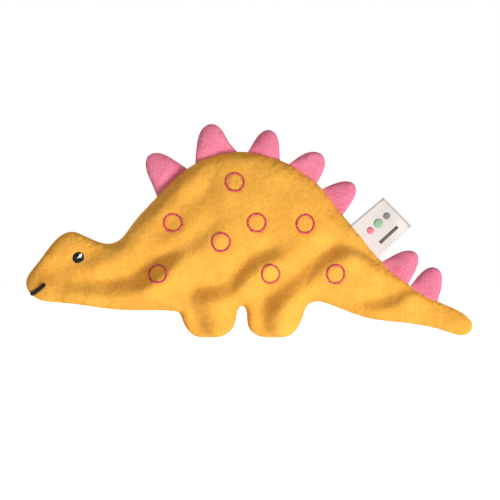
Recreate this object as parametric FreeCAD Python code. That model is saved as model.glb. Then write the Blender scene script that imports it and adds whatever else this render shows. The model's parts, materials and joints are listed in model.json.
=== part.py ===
"""Flat stuffed dinosaur, standing on its two broad feet.

Two mirror-image fabric skins are sewn together round their edge and stuffed, with seven padded plates
and a folded ribbon label caught in the seam along the back. Millimetres; the head points to -X, the tail
to +X, the seam lies in the plane Y = 0 and the feet rest on Z = 0. The origin is the middle of the
bounding box's bottom face.
"""
import FreeCAD, Part
import math
import os

from FreeCAD import Vector

# ---- driving dimensions ----
SKIN = 1.2              # thickness of the plush fabric with its pile
WEB = 1.0               # thickness of the two seam allowances sewn together
WEB_DEPTH = 5.0         # how far the seam allowances reach inwards
LOOSE = 0.15            # play between the filling and the fabric round it
PUFF_LIMIT = 15.0       # half thickness that the widest stuffed stretch approaches
PUFF_GAIN = 0.85        # how fast the skins part from each other inside the seam
EDGE_ROOM = 2.6         # the puffed surface meets the seam plane this far outside the outline
FOOT_FILL = 3.2         # extra half thickness where the stuffing settles into the feet
FOOT_FILL_HEIGHT = 9.0  # height over which the settled stuffing fades out
FEET_MIDDLE = -4.0      # middle of the two feet
FEET_REACH = 44.0       # the settled stuffing fades out this far from the middle
SOLVE_STEP = 4.0        # spacing of the grid on which the puffed shape is worked out
SURFACE_STEP = 8.0      # spacing of the grid through which the skin surface is drawn

NECK_X = -84.0          # the neck folds about a vertical line here
NECK_NOTCH = 21.0       # half angle of the V notch on each flank at the neck, degrees
TAIL_TOP = (82.3, 48.6)     # the tail folds about the line through these two points
TAIL_BOTTOM = (66.0, 13.2)
TAIL_NOTCH = 16.0       # half angle of the V notch on each flank at the tail, degrees
FLEX_GAP = 0.4          # slit between two neighbouring body sections

PLATE_SKIN = 0.55       # thickness of the plates' short-pile fabric
PLATE_BASE = 0.6        # half thickness of a plate up to the line that it folds about
PLATE_BODY = 2.2        # half thickness of a plate once it has opened out
PLATE_OPENING = 8.0     # distance from the fold line over which a plate opens out
PLATE_LIFT = 0.8        # gap between the body's outline and a plate's lower edge
PLATE_ROOT = 5.0        # how far a plate's drawn shape dips into the body before it is trimmed

RIBBON = 0.35           # thickness of one ply of the ribbon label
RIBBON_SPREAD = 0.5     # gap between the label's two plies
MOTIF = 0.12            # thickness of the label's motif
TACK = 0.3              # thickness of the label's corner stitches

RING_RADIUS = 5.4       # middle line of an embroidered ring
THREAD = 1.2            # width of an embroidered line
THREAD_RISE = 0.5       # how far an embroidered line stands above the skin
EYE_WIDTH = 7.2
EYE_HEIGHT = 7.8
GLINT_WIDTH = 2.6
GLINT_HEIGHT = 3.4
STITCH = 0.6            # thickness of the thread in the hand-sewn closing seam
STITCH_LENGTH = 3.0
STITCH_COUNT = 8

# ---- outline of the body: (x, z) points of its runs, in order round the body ----
BACK_RUN = [
    (-44.5, 15.9), (-52.7, 16.7), (-75.3, 16.9), (-92.2, 18.2), (-109.0, 20.6), (-125.9, 22.2),
    (-131.5, 23.2), (-136.4, 26.2), (-139.6, 30.5), (-140.3, 35.6), (-137.6, 41.0), (-130.7, 50.0),
    (-123.9, 59.0), (-118.0, 64.4), (-111.6, 66.6), (-104.3, 64.3), (-97.0, 61.0), (-88.3, 59.0),
    (-82.0, 61.2), (-75.4, 69.0), (-60.5, 86.0), (-48.9, 98.0), (-35.7, 108.4), (-19.9, 115.0),
    (-3.0, 116.6), (13.6, 113.4), (29.0, 106.4), (42.7, 96.2), (56.7, 79.0), (71.4, 61.5),
    (85.8, 44.6), (99.3, 33.6), (113.3, 24.9), (128.9, 17.9), (136.6, 13.0), (139.9, 7.2),
    (136.6, 2.2), (130.6, 1.6), (119.9, 4.8), (108.9, 7.4), (92.1, 9.6), (75.2, 11.8),
    (59.2, 17.0), (49.5, 20.8), (42.1, 22.4), (36.9, 20.6), (34.3, 16.0), (32.6, 10.6),
    (29.6, 5.2), (26.0, 1.7), (23.4, 0.5), (20.5, 0.0)]
HIND_SOLE = [(20.5, 0.0), (9.5, 0.0)]
LEG_GAP_REAR = [(9.5, 0.0), (6.8, 0.4), (3.4, 2.0), (-0.1, 4.8), (-1.7, 9.3), (-2.0, 14.6),
                (-2.7, 17.8), (-4.6, 20.0)]
LEG_GAP_FRONT = [(-4.6, 20.0), (-6.8, 17.9), (-8.0, 14.3), (-8.7, 9.9), (-10.7, 5.5), (-14.2, 2.2),
                 (-17.6, 0.5), (-20.5, 0.0)]
FRONT_SOLE = [(-20.5, 0.0), (-31.0, 0.0)]
CHEST_RUN = [(-31.0, 0.0), (-33.8, 0.6), (-37.4, 2.9), (-40.9, 7.4), (-42.8, 12.2), (-44.5, 15.9)]
RUNS = [BACK_RUN, HIND_SOLE, LEG_GAP_REAR, LEG_GAP_FRONT, FRONT_SOLE, CHEST_RUN]

# ---- plates: the exposed edge of each, from its root nearest the head to its root nearest the tail ----
PLATES = {
    1: [(-57.6, 87.5), (-61.9, 97.6), (-65.2, 107.2), (-63.6, 114.0), (-58.1, 115.8), (-49.4, 112.6),
        (-39.1, 105.6)],
    2: [(-34.1, 108.8), (-33.6, 117.0), (-32.1, 126.0), (-28.2, 132.4), (-23.0, 133.9), (-18.2, 131.0),
        (-13.5, 123.3), (-7.9, 116.2)],
    3: [(-1.2, 115.9), (3.5, 124.1), (9.1, 129.6), (13.4, 130.0), (16.9, 126.6), (18.4, 119.6),
        (18.8, 111.2)],
    4: [(24.8, 108.8), (32.7, 114.5), (40.2, 116.6), (45.2, 114.8), (47.2, 109.4), (45.4, 102.8),
        (42.1, 96.9)],
    5: [(45.6, 93.2), (53.4, 96.7), (60.4, 98.0), (65.4, 96.4), (66.6, 91.4), (63.6, 84.4), (58.4, 77.2)],
    6: [(83.1, 47.5), (91.6, 52.3), (100.0, 54.6), (104.8, 52.6), (105.6, 47.4), (103.0, 40.2), (99.4, 33.7)],
    7: [(101.1, 32.7), (107.6, 40.7), (114.3, 44.2), (119.0, 42.2), (120.6, 36.9), (119.8, 29.8),
        (117.8, 22.7)]}

# ---- label: its four corners, seam side first ----
LABEL_SEAM = [(63.9, 71.0), (81.3, 50.4)]
LABEL_OUTER = [(101.2, 69.6), (83.6, 87.6)]
LABEL_ROOT = 4.0        # how far the label's drawn shape dips into the body before it is trimmed

# ---- embroidery ----
SPOTS = {1: (-57.0, 40.1), 2: (-47.6, 71.7), 3: (-17.7, 59.7), 4: (-9.1, 96.9),
         5: (4.5, 71.7), 6: (13.0, 40.0), 7: (34.6, 71.0), 8: (53.4, 39.9)}
EYE = (-107.1, 50.2)
GLINT = (-105.6, 51.6)
MOUTH = [(-136.6, 27.9), (-133.6, 27.8), (-130.6, 29.8), (-128.6, 33.2)]
CLOSING_START = (119.6, 21.9)
CLOSING_END = (132.2, 16.3)

FAR = 60.0              # beyond the body on either side of the seam plane
REACH = 400.0           # longer than the whole toy


# ---- helpers ----
def at(point, y=0.0):
    """A point of the side view, as a vector."""
    return Vector(point[0], y, point[1])


def run_normals(points):
    """Outward unit normals at the points of one run."""
    normals = []
    for number in range(len(points)):
        before = points[max(number - 1, 0)]
        after = points[min(number + 1, len(points) - 1)]
        dx = after[0] - before[0]
        dz = after[1] - before[1]
        size = math.hypot(dx, dz)
        normals.append((-dz / size, dx / size))
    return normals


def shifted_runs(offset):
    """The outline's runs, moved outwards by offset along their normals."""
    normals = [run_normals(run) for run in RUNS]
    for number in range(len(RUNS)):
        last = normals[number - 1][-1]
        first = normals[number][0]
        both = (last[0] + first[0], last[1] + first[1])
        scale = 2.0 / (both[0] ** 2 + both[1] ** 2)
        mitre = (both[0] * scale, both[1] * scale)
        normals[number - 1][-1] = mitre
        normals[number][0] = mitre
    shifted = []
    for run, run_normal in zip(RUNS, normals):
        shifted.append([(x + offset * nx, z + offset * nz) for (x, z), (nx, nz) in zip(run, run_normal)])
    return shifted


def outline_wire(offset):
    """The closed outline in the seam plane, moved outwards by offset."""
    edges = []
    for run in shifted_runs(offset):
        vectors = [at(point) for point in run]
        if len(vectors) == 2:
            edges.append(Part.makeLine(vectors[0], vectors[1]))
        else:
            curve = Part.BSplineCurve()
            curve.interpolate(Points=vectors)
            edges.append(curve.toShape())
    return Part.Wire(edges)


def prism(wire, low, high):
    """A side-view shape made solid from Y = low to Y = high."""
    face = Part.Face(wire)
    face.translate(Vector(0, low, 0))
    return face.extrude(Vector(0, high - low, 0))


def mirrored(shape):
    """The same piece on the other flank."""
    return shape.mirror(Vector(0, 0, 0), Vector(0, 1, 0))


def export(shape, name):
    """Write one piece, after checking that it is sound."""
    solids = shape.Solids
    if not solids or not all(solid.isValid() for solid in solids):
        raise ValueError(name + " is not a sound solid")
    result = solids[0] if len(solids) == 1 else Part.makeCompound(solids)
    result.exportStep("parts/" + name + ".step")
    box = result.BoundBox
    print(f"{name:26s} solids {len(solids)} volume {result.Volume:9.1f} "
          f"x {box.XMin:7.1f} {box.XMax:7.1f} y {box.YMin:6.1f} {box.YMax:6.1f} "
          f"z {box.ZMin:6.1f} {box.ZMax:6.1f}")


def print_hinge(name, frame, first, last):
    """Print a flap's fold line, as the middle of the line and its direction."""
    start, along, out = frame
    centre = start + along * at(first).distanceToPoint(at(last)) / 2
    print(f"hinge {name} middle {centre.x:.2f} {centre.z:.2f} direction {along.x:.5f} {along.z:.5f}")


# ---- the puffed shape ----
def outline_samples():
    """Points close together along the outline."""
    samples = []
    for edge in outline_wire(0.0).OrderedEdges:
        samples.extend((point.x, point.z) for point in edge.discretize(Distance=3.0)[:-1])
    return samples


def signed_distance(x, z, loop):
    """Distance from a point to the outline, positive inside it."""
    nearest = REACH
    inside = False
    for number in range(len(loop)):
        ax, az = loop[number - 1]
        bx, bz = loop[number]
        sx = bx - ax
        sz = bz - az
        share = ((x - ax) * sx + (z - az) * sz) / (sx * sx + sz * sz)
        share = min(1.0, max(0.0, share))
        nearest = min(nearest, math.hypot(x - ax - share * sx, z - az - share * sz))
        if (az > z) != (bz > z) and x < ax + (z - az) * sx / sz:
            inside = not inside
    return nearest if inside else -nearest


def neighbour_mean(values, column, row):
    """Mean of a grid value's neighbours, with the grid's own edge repeated."""
    columns = len(values) - 1
    rows = len(values[0]) - 1
    return 0.25 * (values[max(column - 1, 0)][row] + values[min(column + 1, columns)][row]
                   + values[column][max(row - 1, 0)] + values[column][min(row + 1, rows)])


def puffed_surface():
    """The outer surface of the front skin: a stuffed membrane held along the seam."""
    loop = outline_samples()
    margin = 2 * SURFACE_STEP
    low_x = min(x for x, z in loop) - margin
    low_z = min(z for x, z in loop) - margin
    columns = 2 * math.ceil((max(x for x, z in loop) + margin - low_x) / SURFACE_STEP) + 1
    rows = 2 * math.ceil((max(z for x, z in loop) + margin - low_z) / SURFACE_STEP) + 1
    xs = [low_x + SOLVE_STEP * column for column in range(columns)]
    zs = [low_z + SOLVE_STEP * row for row in range(rows)]
    stuffed = [[signed_distance(x, z, loop) > -EDGE_ROOM for z in zs] for x in xs]
    swell = [[0.0] * rows for _ in xs]
    for _ in range(260):
        for column in range(columns):
            for row in range(rows):
                if stuffed[column][row]:
                    target = neighbour_mean(swell, column, row) + 0.25 * SOLVE_STEP ** 2
                    swell[column][row] += 1.6 * (target - swell[column][row])
    height = [[PUFF_LIMIT * math.tanh(PUFF_GAIN * math.sqrt(max(value, 0.0)) / PUFF_LIMIT)
               for value in line] for line in swell]
    for _ in range(60):
        for column in range(columns):
            for row in range(rows):
                if not stuffed[column][row]:
                    height[column][row] = neighbour_mean(height, column, row)
    for column, x in enumerate(xs):
        for row, z in enumerate(zs):
            near_feet = 1.0 / (1.0 + math.exp((abs(x - FEET_MIDDLE) - FEET_REACH) / 4.0))
            settled = math.exp(-(max(z, 0.0) / FOOT_FILL_HEIGHT) ** 2)
            height[column][row] += FOOT_FILL * near_feet * settled
    points = [[Vector(xs[column], -height[column][row], zs[row]) for row in range(0, rows, 2)]
              for column in range(0, columns, 2)]
    surface = Part.BSplineSurface()
    surface.interpolate(points)
    return surface.toShape()


def flex_side(anchor, direction, notch, side):
    """Everything on one side of a flex line: side -1 towards the head, +1 towards the tail."""
    across = Vector(direction.z, 0, -direction.x)
    start = side * FLEX_GAP / 2
    spread = side * (FLEX_GAP / 2 + FAR * math.tan(math.radians(notch)))
    corners = [(start, 0), (spread, FAR), (side * REACH, FAR), (side * REACH, -FAR), (spread, -FAR)]
    below = anchor - direction * REACH
    wire = Part.makePolygon([below + across * u + Vector(0, y, 0) for u, y in corners + corners[:1]])
    return Part.Face(wire).extrude(direction * 2 * REACH)


def sections():
    """The space of the head, the torso and the tail between the two flex lines."""
    neck = at((NECK_X, 0.0))
    tail_low = at(TAIL_BOTTOM)
    tail_direction = (at(TAIL_TOP) - tail_low).normalize()
    up = Vector(0, 0, 1)
    torso = flex_side(neck, up, NECK_NOTCH, 1).common(flex_side(tail_low, tail_direction, TAIL_NOTCH, -1))
    return {"head": flex_side(neck, up, NECK_NOTCH, -1), "torso": torso,
            "tail": flex_side(tail_low, tail_direction, TAIL_NOTCH, 1)}


# ---- body ----
def make_body(under_skin):
    """Two skins, the sewn seam allowances between them and the filling, each in three sections."""
    outer = prism(outline_wire(0.0), -FAR, -WEB / 2).common(under_skin)
    sunk = under_skin.translated(Vector(0, SKIN, 0))
    cavity = prism(outline_wire(-SKIN), -FAR, FAR).common(sunk)
    front_skin = outer.cut(cavity)
    web_hole = prism(outline_wire(-WEB_DEPTH), -FAR, FAR)
    web = prism(outline_wire(0.0), -WEB / 2, WEB / 2).cut(web_hole)
    room = SKIN + LOOSE
    loose_front = under_skin.translated(Vector(0, room, 0))
    stuffing = prism(outline_wire(-room), -FAR, FAR).common(loose_front).common(mirrored(loose_front))
    slot_hole = prism(outline_wire(-WEB_DEPTH - LOOSE), -FAR, FAR)
    slot = prism(outline_wire(1.0), -WEB / 2 - LOOSE, WEB / 2 + LOOSE).cut(slot_hole)
    stuffing = stuffing.cut(slot)
    for name, space in sections().items():
        skin = front_skin.common(space)
        export(skin, name + "_front_skin")
        export(mirrored(skin), name + "_back_skin")
        export(web.common(space), name + "_seam")
        export(stuffing.common(space), name + "_filling")


# ---- plates ----
def chord_frame(first, last):
    """Start, direction along and direction outwards of a base chord."""
    along = (at(last) - at(first)).normalize()
    return at(first), along, Vector(-along.z, 0, along.x)


def hinge_frame(first, last):
    """The line that a flap folds about: along its base chord, raised clear of the body's outline."""
    start, along, out = chord_frame(first, last)
    length = at(first).distanceToPoint(at(last))
    rise = 0.0
    for sample in outline_samples():
        from_start = at(sample) - start
        if 0.0 < from_start.dot(along) < length and from_start.dot(out) < PLATE_ROOT:
            rise = max(rise, from_start.dot(out))
    return start + out * (rise + PLATE_LIFT), along, out


def bar_along(frame, profile):
    """A long bar whose cross-section is given as (distance outwards from the chord, y)."""
    start, along, out = frame
    begin = start - along * REACH
    wire = Part.makePolygon([begin + out * v + Vector(0, y, 0) for v, y in profile + profile[:1]])
    return Part.Face(wire).extrude(along * 2 * REACH)


def plate_wire(points, inset):
    """A plate's outline: its curved edge carried on into the body, and closed there by a line."""
    edge_points = [at((x - inset * nx, z - inset * nz))
                   for (x, z), (nx, nz) in zip(points, run_normals(points))]
    first_root = edge_points[0] + (edge_points[0] - edge_points[1]).normalize() * PLATE_ROOT
    last_root = edge_points[-1] + (edge_points[-1] - edge_points[-2]).normalize() * PLATE_ROOT
    curve = Part.BSplineCurve()
    curve.interpolate(Points=[first_root] + edge_points + [last_root])
    return Part.Wire([curve.toShape(), Part.makeLine(last_root, first_root)])


def make_plate(number, points, clear_of_body):
    """One padded plate: two fabric pieces sewn round their edge and a thin wadding."""
    frame = hinge_frame(points[0], points[-1])
    low = -2 * PLATE_ROOT
    high = FAR
    outside = [(low, 0), (low, -PLATE_BASE), (0, -PLATE_BASE), (PLATE_OPENING, -PLATE_BODY),
               (high, -PLATE_BODY), (high, 0)]
    hollow_start = 0.2 * PLATE_OPENING
    slope = (PLATE_BODY - PLATE_BASE) / PLATE_OPENING
    hollow_base = PLATE_BASE + slope * hollow_start - PLATE_SKIN
    hollow_body = PLATE_BODY - PLATE_SKIN
    hollow = [(hollow_start, 1), (hollow_start, -hollow_base), (PLATE_OPENING, -hollow_body),
              (high, -hollow_body), (high, 1)]
    start = hollow_start + LOOSE
    base = hollow_base - LOOSE
    body = hollow_body - LOOSE
    wadding = [(start, base), (start, -base), (PLATE_OPENING, -body), (high, -body),
               (high, body), (PLATE_OPENING, body)]
    shape = prism(plate_wire(points, 0.0), -FAR, FAR).cut(clear_of_body)
    inner_shape = prism(plate_wire(points, 1.5 * PLATE_SKIN), -FAR, FAR).cut(clear_of_body)
    wadding_shape = prism(plate_wire(points, 1.5 * PLATE_SKIN + LOOSE), -FAR, FAR).cut(clear_of_body)
    front = shape.common(bar_along(frame, outside)).cut(inner_shape.common(bar_along(frame, hollow)))
    name = f"plate_{number}"
    print_hinge(name, frame, points[0], points[-1])
    export(front, name + "_front")
    export(mirrored(front), name + "_back")
    export(wadding_shape.common(bar_along(frame, wadding)), name + "_filling")


# ---- label ----
def make_label(clear_of_body):
    """A ribbon folded double, with a small motif and a tack stitch in each outer corner."""
    fold = chord_frame(LABEL_OUTER[1], LABEL_OUTER[0])
    outer_y = RIBBON_SPREAD / 2 + RIBBON
    inner_y = RIBBON_SPREAD / 2
    root = -FAR
    seam = hinge_frame(LABEL_SEAM[0], LABEL_SEAM[1])
    print_hinge("label", seam, LABEL_SEAM[0], LABEL_SEAM[1])
    into_body = seam[2] * LABEL_ROOT
    corners = [at(LABEL_SEAM[0]) - into_body, at(LABEL_SEAM[1]) - into_body,
               at(LABEL_OUTER[0]), at(LABEL_OUTER[1])]
    strip = prism(Part.makePolygon(corners + corners[:1]), -FAR, FAR).cut(clear_of_body)
    folded = bar_along(fold, [(root, outer_y), (root, -outer_y), (0, -outer_y), (0, outer_y)])
    between = bar_along(fold, [(root, inner_y), (root, -inner_y), (-RIBBON, -inner_y), (-RIBBON, inner_y)])
    export(strip.common(folded).cut(between), "label_ribbon")

    fold_start, fold_along, fold_out = fold
    width = at(LABEL_OUTER[0]).distanceToPoint(at(LABEL_OUTER[1]))
    into_page = Vector(0, -1, 0)
    motif = []
    for share, radius in ((0.3, 1.5), (0.5, 2.2), (0.7, 1.5)):
        centre = fold_start + fold_along * width * share - fold_out * 12.0 + into_page * outer_y
        motif.append(Part.makeCylinder(radius, MOTIF, centre, into_page))
    export(Part.makeCompound(motif), "label_motif")

    tacks = []
    for share in (0.09, 0.91):
        for flank in (-1, 1):
            centre = fold_start + fold_along * width * share - fold_out * 2.4
            foot = centre + Vector(0, flank * outer_y, 0)
            tacks.append(Part.makeCylinder(0.6, TACK, foot, Vector(0, flank, 0)))
    export(Part.makeCompound(tacks), "label_tacks")


# ---- embroidery ----
def raised_layer(shape, under_skin, bottom, top):
    """The part of a side-view prism that lies between two heights above the front skin."""
    upper = under_skin.translated(Vector(0, -top, 0))
    lower = under_skin.translated(Vector(0, -bottom, 0)) if bottom else under_skin
    return shape.common(upper).cut(lower)


def ellipse_prism(centre, width, height):
    """An upright ellipse through the front half of the body."""
    if height > width:
        ellipse = Part.Ellipse(at(centre), height / 2, width / 2)
    else:
        ellipse = Part.Ellipse(at(centre), width / 2, height / 2)
    edge = ellipse.toShape()
    edge.rotate(at(centre), Vector(1, 0, 0), 90)
    if height > width:
        edge.rotate(at(centre), Vector(0, 1, 0), 90)
    return prism(Part.Wire([edge]), -FAR, -WEB)


def mouth_prism():
    """A gently curved line of thread, drawn as a band."""
    normals = run_normals(MOUTH)
    half = 0.6 * THREAD
    sides = []
    for sign in (1, -1):
        curve = Part.BSplineCurve()
        curve.interpolate(Points=[at((x + sign * half * nx, z + sign * half * nz))
                                  for (x, z), (nx, nz) in zip(MOUTH, normals)])
        sides.append(curve)
    upper, lower = sides
    edges = [upper.toShape(), Part.makeLine(upper.EndPoint, lower.EndPoint), lower.toShape(),
             Part.makeLine(lower.StartPoint, upper.StartPoint)]
    return prism(Part.Wire(edges), -FAR, -WEB)


def make_embroidery(under_skin):
    """Ring-shaped spots, eyes with a white glint, and mouths, on both flanks."""
    pieces = {}
    for number, centre in SPOTS.items():
        middle = at(centre, -FAR)
        away = Vector(0, 1, 0)
        ring = Part.makeCylinder(RING_RADIUS + THREAD / 2, FAR, middle, away)
        ring = ring.cut(Part.makeCylinder(RING_RADIUS - THREAD / 2, FAR, middle, away))
        pieces[f"spot_{number}"] = raised_layer(ring, under_skin, 0.0, THREAD_RISE)
    eye_rise = 1.6 * THREAD_RISE
    eye = ellipse_prism(EYE, EYE_WIDTH, EYE_HEIGHT)
    glint = ellipse_prism(GLINT, GLINT_WIDTH, GLINT_HEIGHT)
    pieces["eye"] = raised_layer(eye, under_skin, 0.0, eye_rise)
    pieces["eye_glint"] = raised_layer(glint, under_skin, eye_rise, eye_rise + 0.5 * THREAD_RISE)
    pieces["mouth"] = raised_layer(mouth_prism(), under_skin, 0.0, THREAD_RISE)
    for name, piece in pieces.items():
        export(piece, name + "_front")
        export(mirrored(piece), name + "_back")


def make_closing_stitches():
    """Short hand stitches that pull the two skins together along the stuffing opening."""
    body = prism(outline_wire(0.0), -2 * FAR, 2 * FAR)
    start, along, out = chord_frame(CLOSING_START, CLOSING_END)
    length = at(CLOSING_START).distanceToPoint(at(CLOSING_END))
    stitches = []
    for number in range(STITCH_COUNT):
        middle = start + along * length * number / (STITCH_COUNT - 1)
        corners = [middle + along * u + out * v for u, v in
                   ((-STITCH / 2, -1.5), (STITCH / 2, -1.5), (STITCH / 2, STITCH), (-STITCH / 2, STITCH))]
        bar = prism(Part.makePolygon(corners + corners[:1]), -STITCH_LENGTH / 2, STITCH_LENGTH / 2)
        stitches.append(bar.cut(body).Solids[0])
    export(Part.makeCompound(stitches), "closing_stitches")


def main():
    os.makedirs("parts", exist_ok=True)
    skin_surface = puffed_surface()
    under_skin = skin_surface.extrude(Vector(0, FAR, 0))
    make_body(under_skin)
    clear_of_body = prism(outline_wire(PLATE_LIFT), -2 * FAR, 2 * FAR)
    for number, points in PLATES.items():
        make_plate(number, points, clear_of_body)
    make_label(clear_of_body)
    make_embroidery(under_skin)
    make_closing_stitches()


main()
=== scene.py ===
import json
import math

import bmesh
import bpy
import numpy as np
from bpy.props import FloatProperty, FloatVectorProperty, IntProperty, PointerProperty
from mathutils import Matrix, Vector, geometry
from mathutils.bvhtree import BVHTree


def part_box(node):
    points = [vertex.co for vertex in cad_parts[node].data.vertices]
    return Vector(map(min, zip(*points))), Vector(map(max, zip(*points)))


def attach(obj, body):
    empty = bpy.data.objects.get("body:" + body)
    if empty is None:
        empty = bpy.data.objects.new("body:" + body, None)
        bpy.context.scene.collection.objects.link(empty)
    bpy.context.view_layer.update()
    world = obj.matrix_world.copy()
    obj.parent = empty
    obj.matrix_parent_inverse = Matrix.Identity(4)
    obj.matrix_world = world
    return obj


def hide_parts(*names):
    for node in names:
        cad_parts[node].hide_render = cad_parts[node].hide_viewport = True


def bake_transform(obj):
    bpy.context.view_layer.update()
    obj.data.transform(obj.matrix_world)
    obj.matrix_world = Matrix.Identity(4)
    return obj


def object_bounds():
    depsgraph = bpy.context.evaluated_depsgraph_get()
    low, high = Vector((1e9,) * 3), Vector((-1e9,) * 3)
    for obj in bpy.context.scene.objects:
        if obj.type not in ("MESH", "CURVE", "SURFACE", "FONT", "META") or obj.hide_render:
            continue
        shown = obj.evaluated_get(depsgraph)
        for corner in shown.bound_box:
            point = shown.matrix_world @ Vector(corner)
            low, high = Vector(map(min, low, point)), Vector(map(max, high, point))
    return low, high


bl_info = {
    "name": "Flat Stuffed Dinosaur",
    "version": (1, 0, 0),
    "blender": (4, 5, 0),
    "location": "3D View > Sidebar > Soft Toy",
    "description": "Sews, stuffs and embroiders a flat plush dinosaur around its packed frame",
    "category": "Add Mesh",
}

MM = 0.001
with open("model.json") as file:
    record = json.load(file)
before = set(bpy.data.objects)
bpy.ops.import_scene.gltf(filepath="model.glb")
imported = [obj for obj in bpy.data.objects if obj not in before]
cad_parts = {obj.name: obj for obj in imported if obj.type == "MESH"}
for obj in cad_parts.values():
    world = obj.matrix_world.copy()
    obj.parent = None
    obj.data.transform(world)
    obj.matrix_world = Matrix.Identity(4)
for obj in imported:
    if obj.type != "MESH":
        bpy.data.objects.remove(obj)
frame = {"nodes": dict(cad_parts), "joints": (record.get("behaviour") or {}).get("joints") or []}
CAD_LOW, CAD_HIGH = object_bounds()
JOINTS = {joint["name"]: joint for joint in frame["joints"]}
PLATE_NUMBERS = range(1, 8)
SPOT_NUMBERS = range(1, 9)
FLANKS = {"front": -1, "back": 1}
BODY_SECTIONS = ("head", "torso", "tail")
SEAM_PLANE = np.array([1.0, 0.0, 1.0])    # takes a direction into the plane y = 0
PARTING = -5.5 * MM     # the skins are sewn on in a fore and an aft piece, which meet here
sewn = {}    # what one step leaves for the next: sizes, colours, skin surfaces and the outline

CAD_SEAM = -0.5 * MM    # level of the free edge of the frame's front skins
FLEX_GAP = 0.45 * MM    # edges this near to a flex line are cuts between bodies, not the outline
POINT_GRID = 1e-7       # points of the frame that round to the same place on this grid are one point
HAIR = 0.02 * MM        # cuts snap to points this near, and inner walls keep this far off the seam plane
SEAM_HOLD = 0.9 * MM    # how far from the seam plane the stitches still draw in the body's cloth
PLATE_HOLD = 0.45 * MM  # the same for a plate's cloth

# A cover's profile: exponent, steeper at the seam and flatter inside the lower it is
BODY_PROFILE = 0.36
PLATE_PROFILE = 0.42
# A cover's simulation: pressure of the stuffing, furthest move of a point, and frames
BODY_STUFFING = (6.0, 2.5 * MM, 14)
PLATE_STUFFING = (9.0, 1.0 * MM, 10)
CLOTH = {"quality": 6, "mass": 0.2, "tension_stiffness": 12, "compression_stiffness": 12,
         "shear_stiffness": 4, "bending_stiffness": 0.15, "tension_damping": 12, "compression_damping": 12,
         "shear_damping": 8, "air_damping": 3, "use_pressure": True}

# Unevenness of the body's cloth: depth and size of its waves, with one seed for each flank
UNEVEN = ((0.35 * MM, 26 * MM, {"front": 3, "back": 4}), (0.05 * MM, 5 * MM, {"front": 5, "back": 6}))
# Depth and width of the hollows that stitches pull into the cloth
RING_HOLLOW = (0.45 * MM, 1.5 * MM)
EYE_HOLLOW = (0.6 * MM, 4.6 * MM)
ROOT_TUCK = 0.16        # the ribbon runs on into the seam by this share of its visible length
DOTS = ((0.40, 0.34, 2.2 * MM), (0.40, 0.56, 2.9 * MM), (0.40, 0.79, 2.2 * MM))    # across, along, radius

# Soft lights: name, place in metres, side in metres, power in watts and colour
LIGHTS = (("key", (1.6, -1.95, -1.6), 1.2, 119.0, (1.0, 0.99, 0.96)),
          ("top_fill", (-0.35, -0.8, 0.75), 0.7, 2.6, (1.0, 1.0, 1.0)),
          ("under_glow", (0.3, -0.05, -1.0), 0.4, 0.5, (1.0, 0.97, 0.9)),
          ("back_fill", (-0.5, 0.9, 0.5), 0.7, 6.0, (1.0, 0.99, 0.97)))
AMBIENT = (0.34, 0.315, 0.275, 1)    # light from all round, which the camera sees as plain white
CAMERA_PLACE = (0.16 * MM, -1.2, 54.9 * MM)
CAMERA_LENS = 137.8     # millimetres, on a sensor 36 mm wide

# Soft banks in the stuffing: rise and half width in mm, then the (x, z) points of the bank's middle in mm.
# Going along the points, the cloth is low on the left and high on the right, or the other way round where
# the rise is negative.
BANKS = {
    "front": (
        (9.4, 9.0, ((-114, 30), (-100, 31), (-84, 31), (-72, 33), (-64, 36), (-57, 41))),
        (3.4, 6.5, ((-66, 36), (-57, 42), (-48, 49))),
        (3.0, 7.5, ((-48, 49), (-38, 55), (-30, 60), (-22, 67))),
        (6.8, 7.6, ((-32, 27), (-20, 28), (-11, 31), (-5, 38), (2, 46), (14, 52))),
        (7.0, 8.0, ((17, 22), (24, 29), (32, 35.5), (40, 42), (48, 50), (58, 54), (70, 52), (80, 46))),
        (6.0, 6.5, ((74, 19), (84, 21), (92, 24), (100, 29))),
        (6.4, 9.5, ((-27, 2), (-27, 12), (-29, 20))),
        (6.4, 9.5, ((13, 2), (13, 12), (12, 20))),
        (-2.6, 8.0, ((-72, 52), (-60, 66), (-46, 84), (-30, 96))),
        (-2.0, 6.0, ((10, 38), (22, 43), (31, 52))),
        (4.8, 9.0, ((-126, 36), (-112, 41), (-100, 46))),
        (3.6, 9.0, ((57, 56), (60, 70), (60, 84)))),
    "back": (
        (4.2, 6.5, ((-104, 33), (-86, 34), (-70, 38), (-54, 52))),
        (3.4, 7.0, ((-24, 38), (-8, 42), (8, 46), (28, 52))),
        (3.2, 6.5, ((40, 30), (54, 36), (70, 36), (88, 28))),
        (4.0, 9.0, ((-27, 2), (-27, 18))),
        (4.0, 9.0, ((14, 2), (14, 18))),
        (-2.4, 9.0, ((-54, 76), (-26, 92), (8, 90), (28, 82))))}


# ---------------- sizes and colours
def length(name, description, millimetres):
    """A size that a maker would change."""
    return FloatProperty(name=name, description=description, default=millimetres * MM, min=0.0,
                         unit="LENGTH", subtype="DISTANCE", precision=5)


def share(name, description, value):
    """A share between 0 and 1 that a maker would change."""
    return FloatProperty(name=name, description=description, default=value, min=0.0, max=1.0,
                         subtype="FACTOR")


def tint(name, description, *red_green_blue):
    """A colour that a maker would change, given as three numbers up to 255."""
    linear = [((value / 255 + 0.055) / 1.055) ** 2.4 for value in red_green_blue]
    return FloatVectorProperty(name=name, description=description, default=linear, size=3, min=0.0,
                               max=1.0, subtype="COLOR")


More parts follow.
